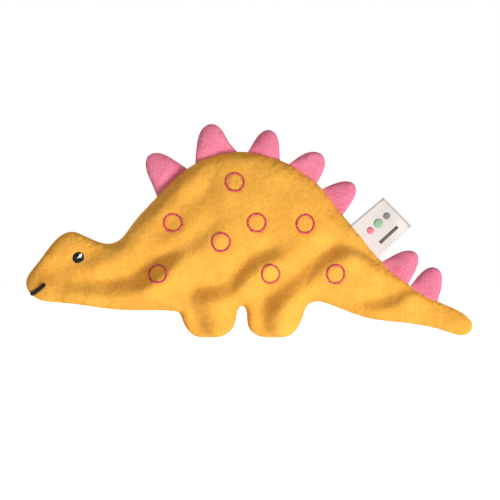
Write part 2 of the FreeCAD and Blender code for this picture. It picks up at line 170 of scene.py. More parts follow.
class DinosaurSizes(bpy.types.PropertyGroup):
    """Sizes of the cloth, the stuffing, the embroidery and the label."""
    cloth_step: length("Cloth step", "Spacing of the body cloth's points before it is refined", 2.0)
    plate_step: length("Plate step", "Spacing of the plate cloth's points before it is refined", 1.5)
    fullness: length("Fullness", "How far the cloth stands beyond the frame's outline", 0.2)
    half_thickness: length("Half thickness", "Half thickness of the widest stretch, before its folds", 13.4)
    seam_radius: length("Seam radius", "How gently the skins part at the seam", 1.2)
    groove: length("Groove", "Depth of the seam line between the two skins", 0.45)
    skin: length("Skin", "Thickness of the body's fabric", 1.0)
    plate_skin: length("Plate skin", "Thickness of the plates' fabric", 0.5)
    plate_half: length("Plate half thickness", "Half thickness of a plate in its widest stretch", 3.0)
    plate_root: length("Plate root", "How far a plate is sewn into the body's seam", 5.5)
    thread: length("Embroidery thread", "Width of an embroidered line", 1.15)
    ring_radius: length("Ring radius", "Middle line of an embroidered ring", 5.55)
    ring_stitches: IntProperty(name="Ring stitches", description="Stitches in one ring", default=28, min=12)
    seam_stitch: length("Seam stitch", "Spacing of the stitches along the seam", 2.7)
    ribbon: length("Ribbon", "Thickness of the ribbon", 0.3)
    slack: share("Slack", "How much larger the cloth is than the shape that it covers", 0.003)


class DinosaurColours(bpy.types.PropertyGroup):
    """Colours of the fabrics, threads and label."""
    yellow: tint("Yellow", "Body fabric", 243, 180, 68)
    # The deep yellow is painted shade in the pile between the tufts, and it also shows in random brushed
    # patches.
    yellow_pile_shade: tint("Deep yellow", "Body fabric between its tufts", 198, 130, 34)
    pink: tint("Pink", "Plate fabric", 234, 133, 163)
    # The deep pink is painted shade in the pile between the tufts, and it also shows in random brushed
    # patches.
    pink_pile_shade: tint("Deep pink", "Plate fabric between its tufts", 184, 78, 108)
    ring_thread: tint("Ring thread", "Thread of the ring spots", 206, 66, 102)
    black: tint("Black thread", "Thread of the eyes and the mouth", 14, 13, 15)
    white: tint("White thread", "Thread of the glint", 244, 242, 240)
    seam_thread: tint("Seam thread", "Sewing thread of the body", 214, 140, 52)
    ribbon: tint("Ribbon", "Satin ribbon of the label", 222, 215, 215)
    dot_pink: tint("Pink dot", "First dot of the label's motif", 231, 129, 149)
    dot_green: tint("Green dot", "Second dot of the label's motif", 156, 196, 162)
    dot_grey: tint("Grey dot", "Third dot of the label's motif", 139, 139, 142)
    bar: tint("Bar", "Bar of the label's motif", 93, 93, 95)
    tack: tint("Tack thread", "Thread of the label's tacks", 173, 169, 169)
    wadding: tint("Wadding", "Polyester stuffing", 238, 238, 234)


# ---------------- frame
def middle(node):
    """Centre of a CAD node's box."""
    low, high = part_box(node)
    return (low + high) / 2


def joint_line(name):
    """A joint's point and unit axis."""
    return Vector(JOINTS[name]["pos_m"]), Vector(JOINTS[name]["axis"]).normalized()


def across(axis):
    """The direction in the seam plane at right angles to a joint's axis, towards the tail."""
    return Vector((axis.z, 0, -axis.x))


def points_of(mesh):
    """A mesh's vertex places as an array."""
    places = np.empty(len(mesh.vertices) * 3)
    mesh.vertices.foreach_get("co", places)
    return places.reshape(-1, 3)


def edges_of(triangles):
    """The three edges of each triangle, as pairs of point numbers with the lower first."""
    return np.sort(np.concatenate([triangles[:, pair] for pair in ([0, 1], [1, 2], [2, 0])]), axis=1)


def flat_rim(node, level):
    """The free edges of a node's faces that lie in the plane y = level, as pairs of (x, z) points."""
    mesh = frame["nodes"][node].data
    points = points_of(mesh)
    mesh.calc_loop_triangles()
    corners = np.empty(len(mesh.loop_triangles) * 3, np.int64)
    mesh.loop_triangles.foreach_get("vertices", corners)
    corners = corners.reshape(-1, 3)
    in_plane = 4e-6
    lying = np.all(np.abs(points[corners, 1] - level) < in_plane, axis=1)
    keys = np.round(points[:, [0, 2]] / POINT_GRID).astype(np.int64)
    unique, number = np.unique(keys, axis=0, return_inverse=True)
    faces = number.ravel()[corners[lying]]
    faces = faces[np.all(faces != np.roll(faces, -1, axis=1), axis=1)]
    pairs, uses = np.unique(edges_of(faces), axis=0, return_counts=True)
    free = pairs[uses == 1]
    return (unique * POINT_GRID)[free]


def chains(edges):
    """Joins edges end to end into open or closed runs of points."""
    def key(point):
        return round(point[0] / POINT_GRID), round(point[1] / POINT_GRID)

    near = {}
    place = {}
    for a, b in edges:
        for end, other in ((a, b), (b, a)):
            near.setdefault(key(end), []).append(key(other))
            place[key(end)] = end
    found = []
    starts = [k for k in near if len(near[k]) != 2] + list(near)
    for start in starts:
        while near[start]:
            run = [start]
            while near[run[-1]]:
                following = near[run[-1]].pop()
                near[following].remove(run[-1])
                run.append(following)
            found.append(np.array([place[k] for k in run]))
    return found


def linked(runs, reach):
    """Links open runs whose ends are close to each other, and returns the loop that encloses most."""
    rings = [run for run in runs if np.allclose(run[0], run[-1], 0.0, 1e-9)]
    spare = [run for run in runs if not np.allclose(run[0], run[-1], 0.0, 1e-9)]
    while spare:
        run = spare.pop()
        while True:
            gaps = [(np.linalg.norm(other[end] - run[-1]), number, end)
                    for number, other in enumerate(spare) for end in (0, -1)]
            gaps.append((np.linalg.norm(run[0] - run[-1]), None, 0))
            distance, number, end = min(gaps, key=lambda gap: gap[0])
            if number is None or distance > reach:
                break
            other = spare.pop(number)
            run = np.concatenate([run, other if end == 0 else other[::-1]])
        rings.append(run)
    return max(rings, key=lambda run: abs(enclosed(run)))


def closed(loop):
    """A loop with its first point repeated at its end."""
    return np.concatenate([loop, loop[:1]])


def enclosed(loop):
    """Signed area inside a loop of (x, z) points."""
    x, z = loop[:, 0], loop[:, 1]
    return 0.5 * float(np.sum(x * np.roll(z, -1) - np.roll(x, -1) * z))


def evened(loop, step):
    """The same closed line, counter-clockwise, with points about step apart."""
    if enclosed(loop) < 0:
        loop = loop[::-1]
    line = closed(loop)
    lengths = np.linalg.norm(np.diff(line, axis=0), axis=1)
    line = line[np.concatenate([[True], lengths > 1e-9])]
    travelled = np.concatenate([[0.0], np.cumsum(np.linalg.norm(np.diff(line, axis=0), axis=1))])
    places = np.linspace(0.0, travelled[-1], int(round(travelled[-1] / step)), endpoint=False)
    return np.stack([np.interp(places, travelled, line[:, axis]) for axis in (0, 1)], axis=1)


def outward(loop):
    """Outward unit normals of a counter-clockwise loop."""
    along = np.roll(loop, -1, axis=0) - np.roll(loop, 1, axis=0)
    normals = np.stack([along[:, 1], -along[:, 0]], axis=1)
    return normals / np.linalg.norm(normals, axis=1, keepdims=True)


def body_outline(step):
    """The seam line round the whole body, joined up across the two flex lines."""
    cuts = [joint_line("neck_bend"), joint_line("tail_bend")]
    kept = []
    for section in BODY_SECTIONS:
        for edge in flat_rim(section + "_front_skin", CAD_SEAM):
            away = [max(abs((Vector((x, 0, z)) - point).dot(across(axis))) for x, z in edge)
                    for point, axis in cuts]
            if min(away) > FLEX_GAP:
                kept.append(edge)
    return evened(linked(chains(kept), 3 * MM), step)


def plate_outline(number, step):
    """The edge of one plate."""
    return evened(linked(chains(flat_rim(f"plate_{number}_front", 0.0)), 0.5 * MM), step)


# ---------------- cloth patterns
def inside(points, loop):
    """Which (x, z) points lie inside a closed loop."""
    result = np.zeros(len(points), bool)
    for a, b in zip(loop, np.roll(loop, -1, axis=0)):
        straddles = (a[1] > points[:, 1]) != (b[1] > points[:, 1])
        if a[1] != b[1]:
            crossing = a[0] + (points[:, 1] - a[1]) * (b[0] - a[0]) / (b[1] - a[1])
            result ^= straddles & (points[:, 0] < crossing)
    return result


def cut_pattern(loop, step):
    """A flat piece of cloth inside a loop, as even triangles: (x, z) points, loop first, and triangles."""
    low, high = loop.min(axis=0), loop.max(axis=0)
    clearance = 0.62 * step    # from the loop to the nearest point inside it
    grid = []
    for row, z in enumerate(np.arange(low[1], high[1], step * math.sqrt(0.75))):
        x = np.arange(low[0] + (row % 2) * step / 2, high[0], step)
        grid.append(np.stack([x, np.full(len(x), z)], axis=1))
    grid = np.concatenate(grid)
    grid = grid[inside(grid, loop)]
    grid = grid[[np.min(np.sum((loop - point) ** 2, axis=1)) > clearance ** 2 for point in grid]]
    points = [Vector(point) for point in np.concatenate([loop, grid])]
    found = geometry.delaunay_2d_cdt(points, [], [list(range(len(loop)))], 1, 1e-9)
    places = np.array([tuple(point) for point in found[0]])
    triangles = np.array([face for face in found[2] if len(face) == 3])
    a, b, c = places[triangles[:, 0]], places[triangles[:, 1]], places[triangles[:, 2]]
    turned = (b[:, 0] - a[:, 0]) * (c[:, 1] - a[:, 1]) - (b[:, 1] - a[:, 1]) * (c[:, 0] - a[:, 0]) < 0
    triangles[turned] = triangles[turned][:, ::-1]
    return places, triangles


def swelling(points, triangles, held, step):
    """How far a membrane held at some points swells under even pressure, in square metres."""
    edges = np.unique(edges_of(triangles), axis=0)
    count = len(points)
    rounds, settled = 700, 1e-22
    degree = np.bincount(edges.ravel(), minlength=count).astype(float)

    def pull(values):
        total = np.bincount(edges[:, 0], values[edges[:, 1]], count)
        total += np.bincount(edges[:, 1], values[edges[:, 0]], count)
        return np.where(held, values, degree * values - total)

    load = np.where(held, 0.0, degree * step ** 2 / 4)
    swell = np.zeros(count)
    rest = load - pull(swell)
    search = rest.copy()
    energy = float(rest @ rest)
    for _ in range(rounds):
        pulled = pull(search)
        share = energy / float(search @ pulled)
        swell += share * search
        rest -= share * pulled
        following = float(rest @ rest)
        if following < settled:
            break
        search = rest + search * following / energy
        energy = following
        search[held] = 0.0
        rest[held] = 0.0
    return np.maximum(swell, 0.0)


def puff(swell, gain, power, crease):
    """Half thickness from swelling: steep at the seam and flatter inside it, the more so at a low power."""
    return gain * ((swell + crease ** 2) ** power - crease ** (2 * power))


def pillow(points, triangles, height, rim_count):
    """Two mirror-image sheets that share their first rim_count points."""
    count = len(points)
    front = np.stack([points[:, 0], -height, points[:, 1]], axis=1)
    back = front[rim_count:] * np.array([1.0, -1.0, 1.0])
    twin = np.arange(count)
    twin[rim_count:] = np.arange(count, 2 * count - rim_count)
    # seen from the front, with X to the right and Z up, a counter-clockwise face points to -Y
    faces = np.concatenate([triangles, twin[triangles][:, ::-1]])
    return np.concatenate([front, back]), faces, len(triangles)


def placed(name, data):
    """An object at the origin of the scene."""
    made = bpy.data.objects.new(name, data)
    bpy.context.scene.collection.objects.link(made)
    return made


def new_mesh(name, points, faces):
    """A mesh object from its points and faces."""
    mesh = bpy.data.meshes.new(name)
    mesh.from_pydata([tuple(point) for point in points], [], [tuple(face) for face in faces])
    mesh.update()
    return placed(name, mesh)


def finished(name, shape, smooth=True):
    """A bmesh made into an object."""
    mesh = bpy.data.meshes.new(name)
    shape.to_mesh(mesh)
    shape.free()
    if smooth:
        mesh.shade_smooth()
    return placed(name, mesh)


def stuffed(points, faces, pinned, pressure, slack, frames):
    """Cloth simulation of a sewn cover under the stuffing's pressure, held along its seam."""
    cover = new_mesh("cover", points, faces)
    group = cover.vertex_groups.new(name="seam")
    group.add([int(number) for number in pinned], 1.0, "REPLACE")
    cloth = cover.modifiers.new("stuffing", "CLOTH")
    settings = cloth.settings
    for name, value in CLOTH.items():
        setattr(settings, name, value)
    settings.vertex_group_mass = group.name
    settings.uniform_pressure_force = pressure
    settings.shrink_min = -slack
    settings.effector_weights.gravity = 0
    cloth.collision_settings.use_collision = False
    cloth.point_cache.frame_start = 1
    cloth.point_cache.frame_end = frames
    scene = bpy.context.scene
    scene.frame_start = 1
    scene.frame_end = frames
    for number in range(1, frames + 1):
        scene.frame_set(number)
    settled = cover.evaluated_get(bpy.context.evaluated_depsgraph_get())
    result = points_of(settled.data)
    scene.frame_set(1)
    bpy.data.objects.remove(cover)
    return result


# ---------------- shaping sewn covers
def refined(points, faces):
    """One level of subdivision of an open or closed cloth: its points and its four-sided faces."""
    cover = new_mesh("cover", points, faces)
    fine = cover.modifiers.new("refine", "SUBSURF")
    fine.levels = 1
    fine.render_levels = 1
    fine.boundary_smooth = "ALL"
    settled = cover.evaluated_get(bpy.context.evaluated_depsgraph_get()).data
    corners = np.empty(len(settled.loops), np.int64)
    settled.loops.foreach_get("vertex_index", corners)
    places = points_of(settled)
    bpy.data.objects.remove(cover)
    return places, corners.reshape(-1, 4)


def to_run(points, run):
    """Distance from each (x, z) point to a run of straight lines."""
    nearest = np.full(len(points), np.inf)
    for a, b in zip(run, run[1:]):
        part = np.clip((points - a) @ (b - a) / ((b - a) @ (b - a)), 0, 1)
        nearest = np.minimum(nearest, np.linalg.norm(points - a - part[:, None] * (b - a), axis=1))
    return nearest


def bank(points, run, width):
    """A bank along a run: -1 to 1 times about 0.43, low to the left of the run and high to its right."""
    nearest = np.full(len(points), np.inf)
    level = np.zeros(len(points))
    last = len(run) - 2
    for number, (a, b) in enumerate(zip(run, run[1:])):
        size = np.linalg.norm(b - a)
        along = (points - a) @ (b - a) / size
        right = ((points - a) @ np.array([b[1] - a[1], a[0] - b[0]])) / size
        past = along - np.clip(along, 0.0, size)
        distance = np.hypot(right, past)
        beyond = (past < 0) & (number == 0) | (past > 0) & (number == last)
        away = np.where(beyond, right, np.copysign(distance, right)) / width
        over = np.where(beyond, past, 0.0) / width
        closer = distance < nearest
        nearest = np.where(closer, distance, nearest)
        level = np.where(closer, away * np.exp(-away ** 2 - over ** 2), level)
    return level


def eased(run):
    """A run with its corners rounded off."""
    for _ in range(3):
        cut = np.stack([0.75 * run[:-1] + 0.25 * run[1:], 0.25 * run[:-1] + 0.75 * run[1:]], axis=1)
        run = np.concatenate([run[:1], cut.reshape(-1, 2), run[-1:]])
    return run


def smooth_share(value, low, high):
    """0 below low, 1 above high, and a smooth rise between them."""
    part = np.clip((value - low) / (high - low), 0, 1)
    return part * part * (3 - 2 * part)


def steady_noise(points, size, seed):
    """Smooth noise between about -1 and 1 on (x, z) points, the same each run."""
    chance = np.random.default_rng(seed)
    total = np.zeros(len(points))
    waves = 14
    for _ in range(waves):
        turn = chance.uniform(0, 2 * math.pi)
        pace = chance.uniform(0.7, 1.5) * 2 * math.pi / size
        total += np.sin(pace * (points[:, 0] * math.cos(turn) + points[:, 1] * math.sin(turn))
                        + chance.uniform(0, 2 * math.pi))
    return total / math.sqrt(waves)


def sewn_cover(loop, step, thickest, power, crease, base=None):
    """A flat padded cover, thickest where it is widest: points, faces and how many faces are in front."""
    points, triangles = cut_pattern(loop, step)
    held = np.arange(len(points)) < len(loop)
    height = puff(swelling(points, triangles, held, step), 1.0, power, crease)
    height *= thickest / np.max(height)
    if base is not None:
        height = height * base(points)
    return pillow(points, triangles, height, len(loop))


def bulged(points, faces, rim, slack, stuffing):
    """The cover after its stuffing has pushed it out, each point moved by no more than stated."""
    pressure, cap, frames = stuffing
    move = stuffed(points, faces, rim, pressure, slack, frames) - points
    size = np.linalg.norm(move, axis=1, keepdims=True)
    return points + move * np.minimum(1.0, cap / np.maximum(size, 1e-9))


def halves(points, faces, front_count):
    """The front and the back cloth of a sewn cover, refined."""
    result = {}
    for flank, part in (("front", faces[:front_count]), ("back", faces[front_count:])):
        used, renumbered = np.unique(part, return_inverse=True)
        result[flank] = refined(points[used], renumbered.reshape(part.shape))
    return result


def sheet_mesh(points, polygons):
    """A bmesh of an open sheet."""
    sheet = bmesh.new()
    made = [sheet.verts.new(point) for point in points]
    for polygon in polygons:
        sheet.faces.new([made[number] for number in polygon])
    sheet.normal_update()
    return sheet


def normals_of(points, polygons):
    """Smooth vertex normals of a sheet."""
    sheet = sheet_mesh(points, polygons)
    normals = np.array([vertex.normal[:] for vertex in sheet.verts])
    sheet.free()
    return normals


def keep_beside(points, side, gap=0.0):
    """Moves points that have crossed the seam plane back to their own side of it."""
    points[:, 1] = side * np.maximum(side * points[:, 1], gap)


def drawn_in(points, normals, depth, width):
    """How far the seam's stitches draw each point in: depth at the seam, and little beyond width."""
    near = np.exp(-(np.abs(points[:, 1]) / width) ** 2) * depth
    return normals * SEAM_PLANE * near[:, None]


def thin_shell(name, points, polygons, normals, thickness, side):
    """A piece of cloth of real thickness under an open sheet, kept on its own side of the seam plane."""
    used = sorted({number for polygon in polygons for number in polygon})
    place = {number: index for index, number in enumerate(used)}
    count = len(used)
    outer = points[used]
    inner = outer - normals[used] * thickness
    keep_beside(inner, side, HAIR)
    faces = [[place[number] for number in polygon] for polygon in polygons]
    edges = {edge: None for face in faces for edge in zip(face, face[1:] + face[:1])}
    rim = [(b, a, a + count, b + count) for a, b in edges if (b, a) not in edges]
    walls = faces + [[number + count for number in reversed(face)] for face in faces] + rim
    piece = new_mesh(name, np.concatenate([outer, inner]), walls)
    piece.data.shade_smooth()
    piece.data.normals_split_custom_set_from_vertices(
        np.concatenate([normals[used], -normals[used]]).tolist())
    return piece


def cut_at_parting(shape, **cleared):
    """Cuts a bmesh across at the parting, and clears the side that is asked for."""
    everything = list(shape.verts) + list(shape.edges) + list(shape.faces)
    bmesh.ops.bisect_plane(shape, geom=everything, dist=HAIR, plane_co=(PARTING, 0, 0),
                           plane_no=(1, 0, 0), **cleared)


def parted(points, polygons):
    """A sheet cut in two at the parting: new points, the fore polygons and the aft polygons."""
    sheet = sheet_mesh(points, polygons)
    cut_at_parting(sheet)
    sheet.verts.index_update()
    cut_points = np.array([vertex.co[:] for vertex in sheet.verts])
    fore, aft = [], []
    for face in sheet.faces:
        numbers = [vertex.index for vertex in face.verts]
        (fore if face.calc_center_median().x < PARTING else aft).append(numbers)
    sheet.free()
    return cut_points, fore, aft


def parted_solid(name, mesh, aft):
    """The fore or the aft part of a closed mesh, closed again at the parting."""
    solid = bmesh.new()
    solid.from_mesh(mesh)
    cut_at_parting(solid, clear_outer=not aft, clear_inner=aft)
    bmesh.ops.holes_fill(solid, edges=[edge for edge in solid.edges if edge.is_boundary])
    bmesh.ops.recalc_face_normals(solid, faces=list(solid.faces))
    return finished(name, solid)


def bend_fore(piece):
    """Bakes a fore piece's transform into its mesh."""
    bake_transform(piece)


def bend_aft(piece):
    """Bakes an aft piece's transform into its mesh."""
    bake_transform(piece)


def bend_flap(piece):
    """Bakes a flap's transform into its mesh."""
    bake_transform(piece)


def dressed(piece, slot, *materials):
    """Gives a piece its materials; the slot is not used."""
    for material in materials:
        piece.data.materials.append(material)
    return piece


# ---------------- body
def hollow(flat, node, radius, depth, width):
    """How deep stitches along a circle round a node's middle pull the cloth in."""
    centre = middle(node)
    away = np.hypot(flat[:, 0] - centre.x, flat[:, 1] - centre.z) - radius
    return depth * np.exp(-(away / width) ** 2)


def gathered(flat, loop):
    """Small gathers beside the seam, which come and go along it."""
    depth, inside_seam, reach = 0.16 * MM, 4 * MM, 3 * MM
    there = steady_noise(flat, 90 * MM, 9) > -0.1
    folds = np.sin(2 * math.pi * steady_noise(flat, 24 * MM, 11) * 2.2)
    return depth * there * folds * np.exp(-((to_run(flat, closed(loop)) - inside_seam) / reach) ** 2)


def body_relief(places, flank, loop):
    """How far the body's cloth stands out (+) or in (-) beyond its puffed shape."""
    flat = places[:, [0, 2]]
    relief = np.zeros(len(places))
    for rise, width, run in BANKS[flank]:
        relief += rise * MM * bank(flat, eased(np.array(run) * MM), width * MM)
    for depth, size, seeds in UNEVEN:
        relief += depth * steady_noise(flat, size, seeds[flank])
    relief *= smooth_share(np.abs(places[:, 1]), 0.5 * MM, 7 * MM)
    for number in SPOT_NUMBERS:
        relief -= hollow(flat, f"spot_{number}_{flank}", sewn["sizes"].ring_radius, *RING_HOLLOW)
    relief -= hollow(flat, "eye_" + flank, 0.0, *EYE_HOLLOW)
    return relief + gathered(flat, loop)


def low_filling(points):
    """A little more filling low down, in the feet."""
    more, height = 0.15, 11 * MM
    return 1 + more * np.exp(-(np.maximum(points[:, 1], 0) / height) ** 2)


def make_body(sizes):
    """Stuffs the body's cover, then cuts it into the fore and aft skins of both flanks."""
    loop = body_outline(sizes.cloth_step)
    loop = loop + outward(loop) * sizes.fullness
    sewn["loop"] = loop
    points, faces, front_count = sewn_cover(loop, sizes.cloth_step, thickest=sizes.half_thickness,
                                            power=BODY_PROFILE, crease=sizes.seam_radius, base=low_filling)
    points = bulged(points, faces, range(len(loop)), sizes.slack, BODY_STUFFING)
    sewn["skin"] = {}
    fabric = velour("yellow_fleece", sewn["colours"].yellow, sewn["colours"].yellow_pile_shade)
    for flank, (places, quads) in halves(points, faces, front_count).items():
        side = FLANKS[flank]
        normals = normals_of(places, quads)
        places = places + normals * body_relief(places, flank, loop)[:, None]
        on_rim = np.abs(places[:, 1]) < HAIR / 2
        keep_beside(places, side)
        places = places - drawn_in(places, normals, sizes.groove, SEAM_HOLD)
        places[on_rim, 1] = 0.0
        places, fore, aft = parted(places, quads)
        normals = normals_of(places, fore + aft)
        sewn["skin"][flank] = BVHTree.FromPolygons(places.tolist(), fore + aft)
        for part, polygons, bend, bodies in (("fore", fore, bend_fore, ("head", "torso")),
                                             ("aft", aft, bend_aft, ("tail", "torso"))):
            piece = thin_shell(f"skin_{part}_{flank}", places, polygons, normals, sizes.skin, side)
            dressed(piece, "yellow_fleece", fabric)
            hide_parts(*[f"{body}_{flank}_skin" for body in bodies])
            bend(piece)


def parted_pieces(name, whole, slot, material, suffix):
    """The fore and the aft piece of a solid inside the body, which stand for the nodes with a suffix."""
    pieces = []
    for part, aft, bend, bodies in (("fore", False, bend_fore, ("head", "torso")),
                                    ("aft", True, bend_aft, ("tail",))):
        piece = dressed(parted_solid(f"{name}_{part}", whole.data, aft), slot, material)
        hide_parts(*[f"{body}_{suffix}" for body in bodies])
        bend(piece)
        pieces.append(piece)
    bpy.data.objects.remove(whole)
    return pieces


def make_body_filling(sizes):
    """Wadding inside the skins, a little smaller than they are."""
    inset, step = 2.4 * MM, 4 * MM
    loop = evened(sewn["loop"] - outward(sewn["loop"]) * inset, step)
    points, faces, _ = sewn_cover(loop, step, thickest=0.46 * sizes.half_thickness,
                                  power=BODY_PROFILE, crease=2 * MM)
    whole = new_mesh("wadding", points, faces)
    for piece in parted_pieces("wadding", whole, "wadding", wadding(sewn["colours"].wadding), "filling"):
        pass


# ---------------- seam
def make_allowances(sizes, loop):
    """The two seam allowances, turned inside and pressed together."""
    step, reach, thickness = 2.5 * MM, 6 * MM, 0.7 * MM
    inner = loop - outward(loop) * (sizes.groove + sizes.skin + 0.3 * MM)
    points, triangles = cut_pattern(evened(inner, step), step)
    triangles = triangles[to_run(points[triangles].mean(axis=1), closed(loop)) < reach]
    band = new_mesh("band", np.stack([points[:, 0], 0 * points[:, 0], points[:, 1]], axis=1), triangles)
    shape = bmesh.new()
    shape.from_mesh(band.data)
    bpy.data.objects.remove(band)
    loose = [vertex for vertex in shape.verts if not vertex.link_faces]
    bmesh.ops.delete(shape, geom=loose, context="VERTS")
    bmesh.ops.solidify(shape, geom=list(shape.faces), thickness=thickness)
    bmesh.ops.translate(shape, verts=list(shape.verts), vec=(0, thickness / 2, 0))
    bmesh.ops.recalc_face_normals(shape, faces=list(shape.faces))
    fabric = velour("seam_allowance", sewn["colours"].yellow, sewn["colours"].yellow_pile_shade)
    parted_pieces("seam_allowance", finished("allowance", shape), "yellow_thread", fabric, "seam")


def make_seam(sizes):
    """The seam allowances, and the line of stitches that holds the skins together."""
    loop = sewn["loop"]
    make_allowances(sizes, loop)
    line = evened(loop - outward(loop) * (sizes.groove + 0.5 * MM), sizes.seam_stitch)
    tangent = np.roll(line, -1, axis=0) - np.roll(line, 1, axis=0)
    tangent /= np.linalg.norm(tangent, axis=1, keepdims=True)
    colour = thread("seam_thread", sewn["colours"].seam_thread)
    size = (2.1 * MM, 0.45 * MM, 0.45 * MM)
    for part, aft, bend in (("fore", False, bend_fore), ("aft", True, bend_aft)):
        stitches = bmesh.new()
        for (x, z), (dx, dz) in zip(line, tangent):
            if (x > PARTING) == aft:
                add_stitch(stitches, (x, 0, z), (dx, 0, dz), (0, 1, 0), size, 0.5)
        bend(dressed(finished("seam_thread_" + part, stitches), "yellow_thread", colour))


# ---------------- plates
def rooted(loop, body, root):
    """A plate's outline with its two sides carried straight on into the body's seam."""
    away = to_run(loop, closed(body))
    first = int(np.argmax(away))
    loop, away = np.roll(loop, -first, axis=0), np.roll(away, -first)
    lower = np.flatnonzero(away < 1.3 * MM)
    before, after = lower[0] - 1, lower[-1] + 1
    back = 3    # the sides' directions are taken over this many points
    ends = []
    for last, earlier in ((before, before - back), (after, after + back)):
        ahead = loop[last] - loop[earlier]
        ends.append(loop[last] + ahead / np.linalg.norm(ahead) * root)
    return np.concatenate([loop[:lower[0]], ends, loop[after:]])


def make_plate(number, sizes, fabric, stuffing):
    """One padded plate: front and back cloth sewn round the edge, over thin wadding."""
    step = sizes.plate_step
    loop = rooted(plate_outline(number, 0.8 * MM), sewn["loop"], sizes.plate_root)
    loop = evened(loop, step)
    loop = loop + outward(loop) * sizes.fullness
    name = f"plate_{number}"
    point, axis = joint_line(name + "_flop")
    root, out = np.array([point.x, point.z]), np.array([-across(axis).x, -across(axis).z])

    def pinched(points):
        """Pressed flat where the body's seam grips the plate."""
        flattest = 0.4
        return flattest + (1 - flattest) * smooth_share((points - root) @ out, -1 * MM, 5 * MM)

    points, faces, front_count = sewn_cover(loop, step, thickest=sizes.plate_half, power=PLATE_PROFILE,
                                            crease=0.7 * MM, base=pinched)
    in_seam = np.flatnonzero((points[:, [0, 2]] - root) @ out < 0)
    held = np.union1d(np.arange(len(loop)), in_seam)
    points = bulged(points, faces, held, 1.5 * sizes.slack, PLATE_STUFFING)
    for flank, (places, quads) in halves(points, faces, front_count).items():
        side = FLANKS[flank]
        normals = normals_of(places, quads)
        relief = 0.22 * MM * steady_noise(places[:, [0, 2]], 15 * MM, 20 + number)
        relief *= smooth_share(np.abs(places[:, 1]), 0.4 * MM, 2.5 * MM)
        places = places + normals * relief[:, None] - drawn_in(places, normals, 0.3 * MM, PLATE_HOLD)
        keep_beside(places, side)
        normals = normals_of(places, quads)
        piece = thin_shell(f"{name}_{flank}_cloth", places, quads.tolist(), normals, sizes.plate_skin, side)
        dressed(piece, "pink_fleece", fabric)
        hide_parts(f"{name}_{flank}")
        bend_flap(piece)

    inset, step = 1.3 * MM, 2 * MM
    inner = evened(loop - outward(loop) * inset, step)
    points, faces, _ = sewn_cover(inner, step, thickest=0.6 * sizes.plate_half, power=PLATE_PROFILE,
                                  crease=1.0 * MM, base=pinched)
    piece = dressed(new_mesh(name + "_wadding", points, faces), "wadding", stuffing)
    piece.data.shade_smooth()
    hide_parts(name + "_filling")
    bend_flap(piece)


# ---------------- embroidery
def on_skin(flank, x, z):
    """The point of a flank's skin at (x, z), and its outward direction."""
    side = FLANKS[flank]
    place, normal, _, _ = sewn["skin"][flank].ray_cast(Vector((x, side * 0.1, z)), Vector((0, -side, 0)))
    if place is None:
        place, normal, _, _ = sewn["skin"][flank].find_nearest(Vector((x, side * 5 * MM, z)))
    return place, normal if normal.y * side > 0 else -normal


def add_stitch(shape, centre, along, up, size, shade, sides=8, rings=5):
    """One stitch: a lens of thread lying along a direction, marked with how light its thread is."""
    lengthways = Vector(along).normalized()
    sideways = Vector(up).cross(lengthways).normalized()
    upright = lengthways.cross(sideways)
    turn = Matrix((sideways * size[1] / 2, upright * size[2] / 2, lengthways * size[0] / 2)).transposed()
    place = Matrix.Translation(Vector(centre)) @ turn.to_4x4()
    layer = shape.verts.layers.float.get("shade") or shape.verts.layers.float.new("shade")
    made = bmesh.ops.create_uvsphere(shape, u_segments=sides, v_segments=rings, radius=1.0, matrix=place)
    for vertex in made["verts"]:
        vertex[layer] = shade


def ring_stitches(sizes, flank, centre, chance):
    """One ring spot: a round of small back stitches, not quite even, with a tie-off of two."""
    ring = bmesh.new()
    squash = 1 + chance.uniform(-0.025, 0.025)
    wander = chance.uniform(0, 2 * math.pi, 2)

    def lay(angle, radius, squash, lean, lift, size, shade):
        """One stitch of the ring, leaning across the round and lifted off the skin."""
        place, normal = on_skin(flank, centre.x + radius * math.cos(angle) * squash,
                                centre.z + radius * math.sin(angle) / squash)
        along = Vector((-math.sin(angle), 0, math.cos(angle)))
        add_stitch(ring, place + normal * lift, along + lean * normal.cross(along), normal, size, shade)

    for stitch in range(sizes.ring_stitches):
        angle = 2 * math.pi * stitch / sizes.ring_stitches
        radius = sizes.ring_radius * (1 + 0.018 * math.sin(2 * angle + wander[0])
                                      + 0.012 * math.sin(3 * angle + wander[1]))
        size = (1.16 * MM * chance.uniform(0.9, 1.1), 1.35 * sizes.thread,
                1.3 * MM * chance.uniform(0.9, 1.1))
        lay(angle, radius, squash, 0.5, 0.34 * MM, size, chance.uniform(0, 1))
    for degrees in (232, 241):
        lay(math.radians(degrees), sizes.ring_radius + 0.5 * MM, 1.0, 0.0, 0.3 * MM,
            (1.5 * MM, 1.1 * MM, 1.1 * MM), 0.35)
    return ring


def make_rings(sizes):
    """The ring spots of both flanks."""
    colour = thread("ring_thread", sewn["colours"].ring_thread)
    chance = np.random.default_rng(17)
    for flank in FLANKS:
        for number in SPOT_NUMBERS:
            node = f"spot_{number}_{flank}"
            ring = ring_stitches(sizes, flank, middle(node), chance)
            piece = dressed(finished(f"ring_{number}_{flank}", ring), "ring_thread", colour)
            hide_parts(node)
            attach(piece, "torso")


